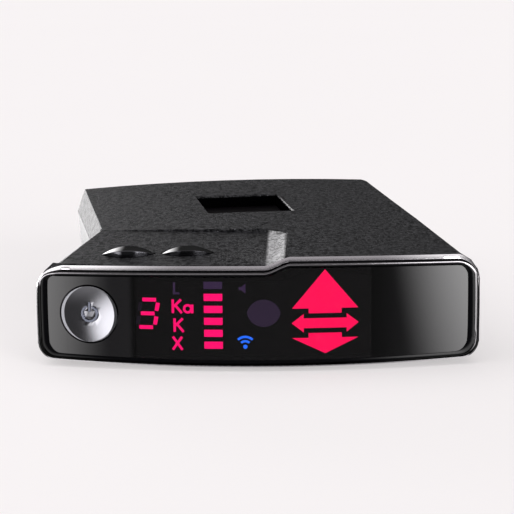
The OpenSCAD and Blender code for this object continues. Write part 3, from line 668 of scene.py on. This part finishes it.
def make_lens():
    """Bowed clear panel, cut in upright strips, with the power key's round hole."""
    inset = grown(LENS_IN, 0.06, 0.06, 0.06)
    outline = face_outline(inset)
    ends = (min(p.x for p in outline) + 0.0005, max(p.x for p in outline) - 0.0005)
    hole = (POWER_AT[0] - POWER_HOLE, POWER_AT[0] + POWER_HOLE)
    ring = [POWER_AT[0] - POWER_HOLE * math.cos(math.pi * i / 36) for i in range(37)]
    corners = [p.x for p in outline if p.x < -39.8 or p.x > 39.8 or 1.5 < p.x < 7]
    us = sorted(set(round(u, 4) for u in [*spread(*ends, 110), *ring, *corners, *ends]
                    if ends[0] <= u <= ends[1]))
    verts, faces = [], []

    def column(u, low, high):
        """Four corners of the strip's edge: front low, front high, back low, back high."""
        start = len(verts)
        for depth in (0.1, 1.6):
            for w in (low, high):
                verts.append(face_point(u * MM, bow(u * MM) + depth * MM, w * MM))
        return start

    def bay(a, b):
        faces.extend([(a, b, b + 1, a + 1), (a + 2, a + 3, b + 3, b + 2),
                      (a, a + 2, b + 2, b), (a + 1, b + 1, b + 3, a + 3)])

    def ranges(u):
        low, high = span_at(outline, u)
        if hole[0] <= u <= hole[1]:
            rise = math.sqrt(max(POWER_HOLE ** 2 - (u - POWER_AT[0]) ** 2, 0))
            return [(low, POWER_AT[1] - rise), (POWER_AT[1] + rise, high)]
        return [(low, high)]

    for a, b in zip(us, us[1:]):
        cut = hole[0] <= (a + b) / 2 <= hole[1]
        left = ranges(a)
        right = ranges(b)
        if cut:
            for (l0, l1), (r0, r1) in zip(left, right):
                bay(column(a, l0, l1), column(b, r0, r1))
        else:
            low_left, high_left = left[0][0], left[-1][1]
            low_right, high_right = right[0][0], right[-1][1]
            bay(column(a, low_left, high_left), column(b, low_right, high_right))
    for u in (us[0], us[-1]):
        low, high = span_at(outline, u)
        start = column(u, low, high)
        faces.append((start, start + 1, start + 3, start + 2))
    piece = new_piece("lens_panel", verts, faces, skins["display_lens"])
    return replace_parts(piece, "display_lens")


make_rim()
make_bezel()
make_edge_highlight()
make_lens()


# ---- Covers ---------------------------------------------------------------------------------------

def at_head_corner(middle):
    """The display head's top corner on the driver's left, where the cover's short faces meet."""
    spot = middle - FACE_MID
    return spot.dot(FACE_U) < -36 * MM and spot.dot(FACE_AXIS) < 9 * MM and middle.z > CASE_TOP - 8 * MM


def soft_cover(node, name, slot, is_soft, soft, crisp):
    """A cover with rounded outer edges: soft (mm) where is_soft(middle, edge) holds, crisp elsewhere."""
    mesh = nodes[node].data.copy()
    mesh.materials.clear()
    work = bmesh.new()
    work.from_mesh(mesh)
    bmesh.ops.remove_doubles(work, verts=work.verts, dist=0.000002)
    bmesh.ops.dissolve_limit(work, angle_limit=math.radians(0.6), verts=work.verts, edges=work.edges)
    weight = work.edges.layers.float.new("bevel_weight_edge")
    for edge in work.edges:
        if not edge.is_manifold or not edge.is_convex or edge.calc_length() < 1.2 * MM:
            continue
        middle = (edge.verts[0].co + edge.verts[1].co) / 2
        if edge.calc_face_angle() > math.radians(24) and not at_head_corner(middle):
            edge[weight] = 1.0 if is_soft(middle, edge) else crisp / soft
    work.to_mesh(mesh)
    work.free()
    piece = finish_mesh(name, mesh, skins[slot], sharp=7)
    edge = piece.modifiers.new("edge", "BEVEL")
    edge.width = soft * MM
    edge.segments = 4
    edge.limit_method = "WEIGHT"
    edge.use_clamp_overlap = False
    edge.harden_normals = True
    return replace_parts(piece, node)


def on_left_shoulder(middle, edge):
    """The case's long top edge on the driver's left, behind the display head."""
    return middle.x < -0.024 and middle.z > 0.0225 and edge.calc_length() > 8 * MM


soft_cover("top_cover", "top_shell", "die_cast", on_left_shoulder, 1.5, 0.3)
soft_cover("bottom_cover", "bottom_shell", "case_plastic", lambda middle, edge: False, 0.3, 0.3)


# ---- Studio -------------------------------------------------------------------------------------

def direction(azimuth, elevation):
    """Unit vector: azimuth 0 is +Y, 90 is +X; elevation is above the horizon."""
    a, e = math.radians(azimuth), math.radians(elevation)
    return (math.sin(a) * math.cos(e), math.cos(a) * math.cos(e), math.sin(e))


# Softboxes of the studio: azimuth, elevation, half width, soft edge (degrees), brightness
SOFTBOXES = [
    (0, 90, 34, 24, 1.1),         # overhead
    (-80, 22, 34, 22, 1.2),       # on the driver's left
    (-20, 3, 16, 9, 8.6),         # low, behind on the left: seen in the case's side wall
    (150, 5, 20, 7, 10.0),        # in front on the right: seen in the right end of the face
    (-122, -6, 15, 9, 5.0),       # in front on the left: seen in the power key's end of the face
    (180, -12, 40, 20, 0.12),     # dim, in front: seen in the middle of the face
]


def make_world():
    """Softboxes in a dim room for the light and reflections, and a pale backdrop for the camera."""
    world = bpy.data.worlds.new("studio")
    bpy.context.scene.world = world
    world.use_nodes = True
    t = Tree(world.node_tree)
    way = t.add("ShaderNodeTexCoord").outputs["Generated"]
    height = t.add("ShaderNodeSeparateXYZ", {0: way}).outputs["Z"]
    sky = t.rise(height, 0.1, 0.8, 0.02, 0.35)
    ground = t.rise(height, -0.32, -0.6, 0.0, 0.8)
    light = t.math("ADD", sky, ground)
    for azimuth, elevation, half, soft, strength in SOFTBOXES:
        near = t.vmath("DOT_PRODUCT", way, direction(azimuth, elevation))
        edge = [math.cos(math.radians(a)) for a in (half + soft, max(half - soft, 0))]
        light = t.math("ADD", light, t.rise(near, edge[0], edge[1], 0.0, strength))
    lit = t.add("ShaderNodeBackground", {"Color": (1.0, 0.985, 0.99), "Strength": light}).outputs[0]
    seen = t.add("ShaderNodeBackground", {"Color": (0.93, 0.897, 0.905), "Strength": 1.0}).outputs[0]
    path = t.add("ShaderNodeLightPath").outputs["Is Camera Ray"]
    surface = t.add("ShaderNodeMixShader", {0: path, 1: lit, 2: seen}).outputs[0]
    t.add("ShaderNodeOutputWorld", {"Surface": surface})


def make_floor():
    """Pale, softly lit floor. Glossy surfaces see the studio through it and not its own white."""
    mesh = bpy.data.meshes.new("floor")
    half = 3.0
    corners = [(-half, -half, 0), (half, -half, 0), (half, half, 0), (-half, half, 0)]
    mesh.from_pydata(corners, [], [(0, 1, 2, 3)])
    floor = bpy.data.objects.new("floor", mesh)
    bpy.context.scene.collection.objects.link(floor)

    def paint(t):
        cloud = t.noise(t.where(), 6.0, 3.0)
        return {"Base Color": t.mix(cloud, (0.37, 0.358, 0.36), (0.38, 0.368, 0.37)), "Roughness": 0.9,
                "Specular IOR Level": 0.0, "Emission Color": (0.93, 0.9, 0.905), "Emission Strength": 0.525}
    mesh.materials.append(material("floor", paint))
    floor.visible_glossy = False
    floor.visible_transmission = False


make_world()
make_floor()
